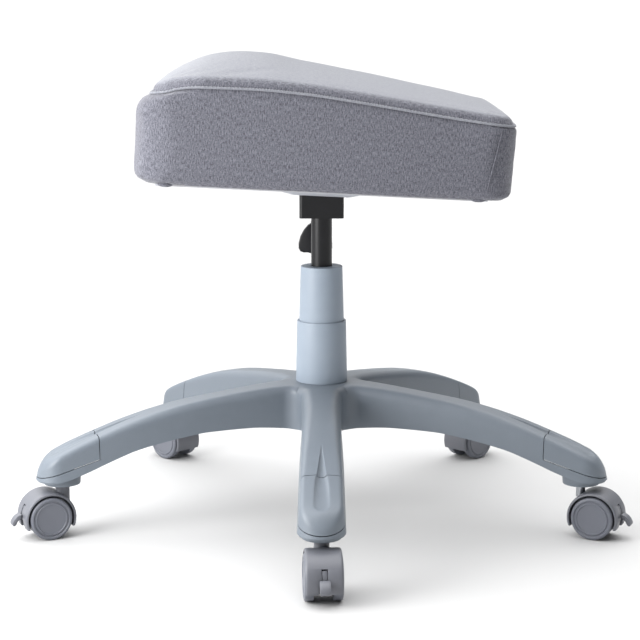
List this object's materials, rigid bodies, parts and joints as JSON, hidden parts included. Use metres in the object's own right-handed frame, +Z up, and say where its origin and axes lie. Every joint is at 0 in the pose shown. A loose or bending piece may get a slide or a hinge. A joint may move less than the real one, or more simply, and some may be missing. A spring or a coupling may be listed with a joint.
{
  "type": "adjustable swivel stool",
  "caption": "Rolling footstool with a wedge-shaped crowned cushion that swivels and lifts on a gas column over a star base with hooded twin-wheel castors and brakes.",
  "frame": {"origin": "on the floor under the centre of the gas column", "axes": "+Z up along the column; the seat's thick end points to -X; one arm of the base points to -Y"},
  "size_m": [0.7354, 0.6989, 0.5679],
  "materials": {
    "base_nylon": "fine moulded texture, blue-grey",
    "cover_plastic": "satin moulded, blue-grey",
    "castor_nylon": "satin moulded, grey",
    "wheel_plastic": "satin moulded, darker grey",
    "black_steel": "black semi-gloss coat",
    "bright_steel": "zinc-bright",
    "black_plastic": "black moulded",
    "bush_plastic": "natural acetal",
    "rubber": "soft black rubber",
    "plywood": "bare plywood",
    "panel_plastic": "light grey moulded panel",
    "seat_fabric": "heather-grey woven upholstery"
  },
  "bodies": {
    "base": {"base_star": "base_nylon", "arm_cap_1": "base_nylon", "arm_cap_2": "base_nylon", "arm_cap_3": "base_nylon", "arm_cap_4": "base_nylon", "arm_cap_5": "base_nylon", "column_tube": "black_steel", "guide_bush": "bush_plastic", "upper_cover": "cover_plastic", "lower_cover": "cover_plastic", "thrust_bearing": "bright_steel", "castor_stem_1": "bright_steel", "castor_stem_2": "bright_steel", "castor_stem_3": "bright_steel", "castor_stem_4": "bright_steel", "castor_stem_5": "bright_steel"},
    "spindle": {"piston_rod": "bright_steel", "bump_stop": "rubber", "rod_clip": "bright_steel"},
    "seat": {"gas_cylinder": "black_steel", "rod_gland": "bush_plastic", "seat_bracket": "black_steel", "seat_board": "plywood", "seat_cushion": "seat_fabric", "under_cover": "panel_plastic", "seat_screws": "bright_steel", "t_nuts": "bright_steel", "lever_pin": "bright_steel"},
    "lever": {"lever_rod": "black_steel", "lever_paddle": "black_plastic"},
    "valve_button": {"release_button": "bright_steel"},
    "castor_1": {"castor_hood_1": "castor_nylon", "axle_1": "bright_steel"},
    "left_wheel_1": {"wheel_left_1": "wheel_plastic"},
    "right_wheel_1": {"wheel_right_1": "wheel_plastic"},
    "brake_1": {"brake_lever_1": "castor_nylon"},
    "castor_2": {"castor_hood_2": "castor_nylon", "axle_2": "bright_steel"},
    "left_wheel_2": {"wheel_left_2": "wheel_plastic"},
    "right_wheel_2": {"wheel_right_2": "wheel_plastic"},
    "brake_2": {"brake_lever_2": "castor_nylon"},
    "castor_3": {"castor_hood_3": "castor_nylon", "axle_3": "bright_steel"},
    "left_wheel_3": {"wheel_left_3": "wheel_plastic"},
    "right_wheel_3": {"wheel_right_3": "wheel_plastic"},
    "brake_3": {"brake_lever_3": "castor_nylon"},
    "castor_4": {"castor_hood_4": "castor_nylon", "axle_4": "bright_steel"},
    "left_wheel_4": {"wheel_left_4": "wheel_plastic"},
    "right_wheel_4": {"wheel_right_4": "wheel_plastic"},
    "brake_4": {"brake_lever_4": "castor_nylon"},
    "castor_5": {"castor_hood_5": "castor_nylon", "axle_5": "bright_steel"},
    "left_wheel_5": {"wheel_left_5": "wheel_plastic"},
    "right_wheel_5": {"wheel_right_5": "wheel_plastic"},
    "brake_5": {"brake_lever_5": "castor_nylon"}
  },
  "joints": [
    {"name": "seat_swivel", "type": "hinge", "parent": "base", "child": "spindle", "pos_m": [0, 0, 0.167], "axis": [0, 0, 1], "continuous": true},
    {"name": "seat_lift", "type": "slide", "parent": "spindle", "child": "seat", "axis": [0, 0, 1], "range_m": [-0.055, 0.045]},
    {"name": "lever_lift", "type": "hinge", "parent": "seat", "child": "lever", "pos_m": [-0.008, 0.03, 0.4046], "axis": [1, 0, 0], "range_deg": [0, 6], "stiffness_Nm_per_rad": 0.5},
    {"name": "valve_press", "type": "slide", "parent": "seat", "child": "valve_button", "axis": [0, 0, 1], "range_m": [-0.0034, 0]},
    {"name": "castor_swivel_1", "type": "hinge", "parent": "base", "child": "castor_1", "pos_m": [0, -0.324, 0.0628], "axis": [0, 0, 1], "continuous": true},
    {"name": "left_wheel_spin_1", "type": "hinge", "parent": "castor_1", "child": "left_wheel_1", "pos_m": [0.00139, -0.34395, 0.0255], "axis": [0.9976, 0.0698, 0], "continuous": true},
    {"name": "right_wheel_spin_1", "type": "hinge", "parent": "castor_1", "child": "right_wheel_1", "pos_m": [0.00139, -0.34395, 0.0255], "axis": [0.9976, 0.0698, 0], "continuous": true},
    {"name": "brake_press_1", "type": "hinge", "parent": "castor_1", "child": "brake_1", "pos_m": [0.00279, -0.3639, 0.0345], "axis": [0.9976, 0.0698, 0], "range_deg": [0, 10]},
    {"name": "castor_swivel_2", "type": "hinge", "parent": "base", "child": "castor_2", "pos_m": [0.30814, -0.10012, 0.0628], "axis": [0, 0, 1], "continuous": true},
    {"name": "left_wheel_spin_2", "type": "hinge", "parent": "castor_2", "child": "left_wheel_2", "pos_m": [0.32627, -0.10857, 0.0255], "axis": [0.4226, 0.9063, 0], "continuous": true},
    {"name": "right_wheel_spin_2", "type": "hinge", "parent": "castor_2", "child": "right_wheel_2", "pos_m": [0.32627, -0.10857, 0.0255], "axis": [0.4226, 0.9063, 0], "continuous": true},
    {"name": "brake_press_2", "type": "hinge", "parent": "castor_2", "child": "brake_2", "pos_m": [0.3444, -0.11703, 0.0345], "axis": [0.4226, 0.9063, 0], "range_deg": [0, 10]},
    {"name": "castor_swivel_3", "type": "hinge", "parent": "base", "child": "castor_3", "pos_m": [0.19044, 0.26212, 0.0628], "axis": [0, 0, 1], "continuous": true},
    {"name": "left_wheel_spin_3", "type": "hinge", "parent": "castor_3", "child": "left_wheel_3", "pos_m": [0.20483, 0.27602, 0.0255], "axis": [-0.6947, 0.7193, 0], "continuous": true},
    {"name": "right_wheel_spin_3", "type": "hinge", "parent": "castor_3", "child": "right_wheel_3", "pos_m": [0.20483, 0.27602, 0.0255], "axis": [-0.6947, 0.7193, 0], "continuous": true},
    {"name": "brake_press_3", "type": "hinge", "parent": "castor_3", "child": "brake_3", "pos_m": [0.21922, 0.28991, 0.0345], "axis": [-0.6947, 0.7193, 0], "range_deg": [0, 10]},
    {"name": "castor_swivel_4", "type": "hinge", "parent": "base", "child": "castor_4", "pos_m": [-0.19044, 0.26212, 0.0628], "axis": [0, 0, 1], "continuous": true},
    {"name": "left_wheel_spin_4", "type": "hinge", "parent": "castor_4", "child": "left_wheel_4", "pos_m": [-0.20483, 0.27602, 0.0255], "axis": [-0.6947, -0.7193, 0], "continuous": true},
    {"name": "right_wheel_spin_4", "type": "hinge", "parent": "castor_4", "child": "right_wheel_4", "pos_m": [-0.20483, 0.27602, 0.0255], "axis": [-0.6947, -0.7193, 0], "continuous": true},
    {"name": "brake_press_4", "type": "hinge", "parent": "castor_4", "child": "brake_4", "pos_m": [-0.21922, 0.28991, 0.0345], "axis": [-0.6947, -0.7193, 0], "range_deg": [0, 10]},
    {"name": "castor_swivel_5", "type": "hinge", "parent": "base", "child": "castor_5", "pos_m": [-0.30814, -0.10012, 0.0628], "axis": [0, 0, 1], "continuous": true},
    {"name": "left_wheel_spin_5", "type": "hinge", "parent": "castor_5", "child": "left_wheel_5", "pos_m": [-0.32627, -0.10857, 0.0255], "axis": [0.4226, -0.9063, 0], "continuous": true},
    {"name": "right_wheel_spin_5", "type": "hinge", "parent": "castor_5", "child": "right_wheel_5", "pos_m": [-0.32627, -0.10857, 0.0255], "axis": [0.4226, -0.9063, 0], "continuous": true},
    {"name": "brake_press_5", "type": "hinge", "parent": "castor_5", "child": "brake_5", "pos_m": [-0.3444, -0.11703, 0.0345], "axis": [0.4226, -0.9063, 0], "range_deg": [0, 10]}
  ],
  "couplings": [
    {"joint": "valve_press", "follows": "lever_lift", "m_per_rad": -0.03}
  ]
}
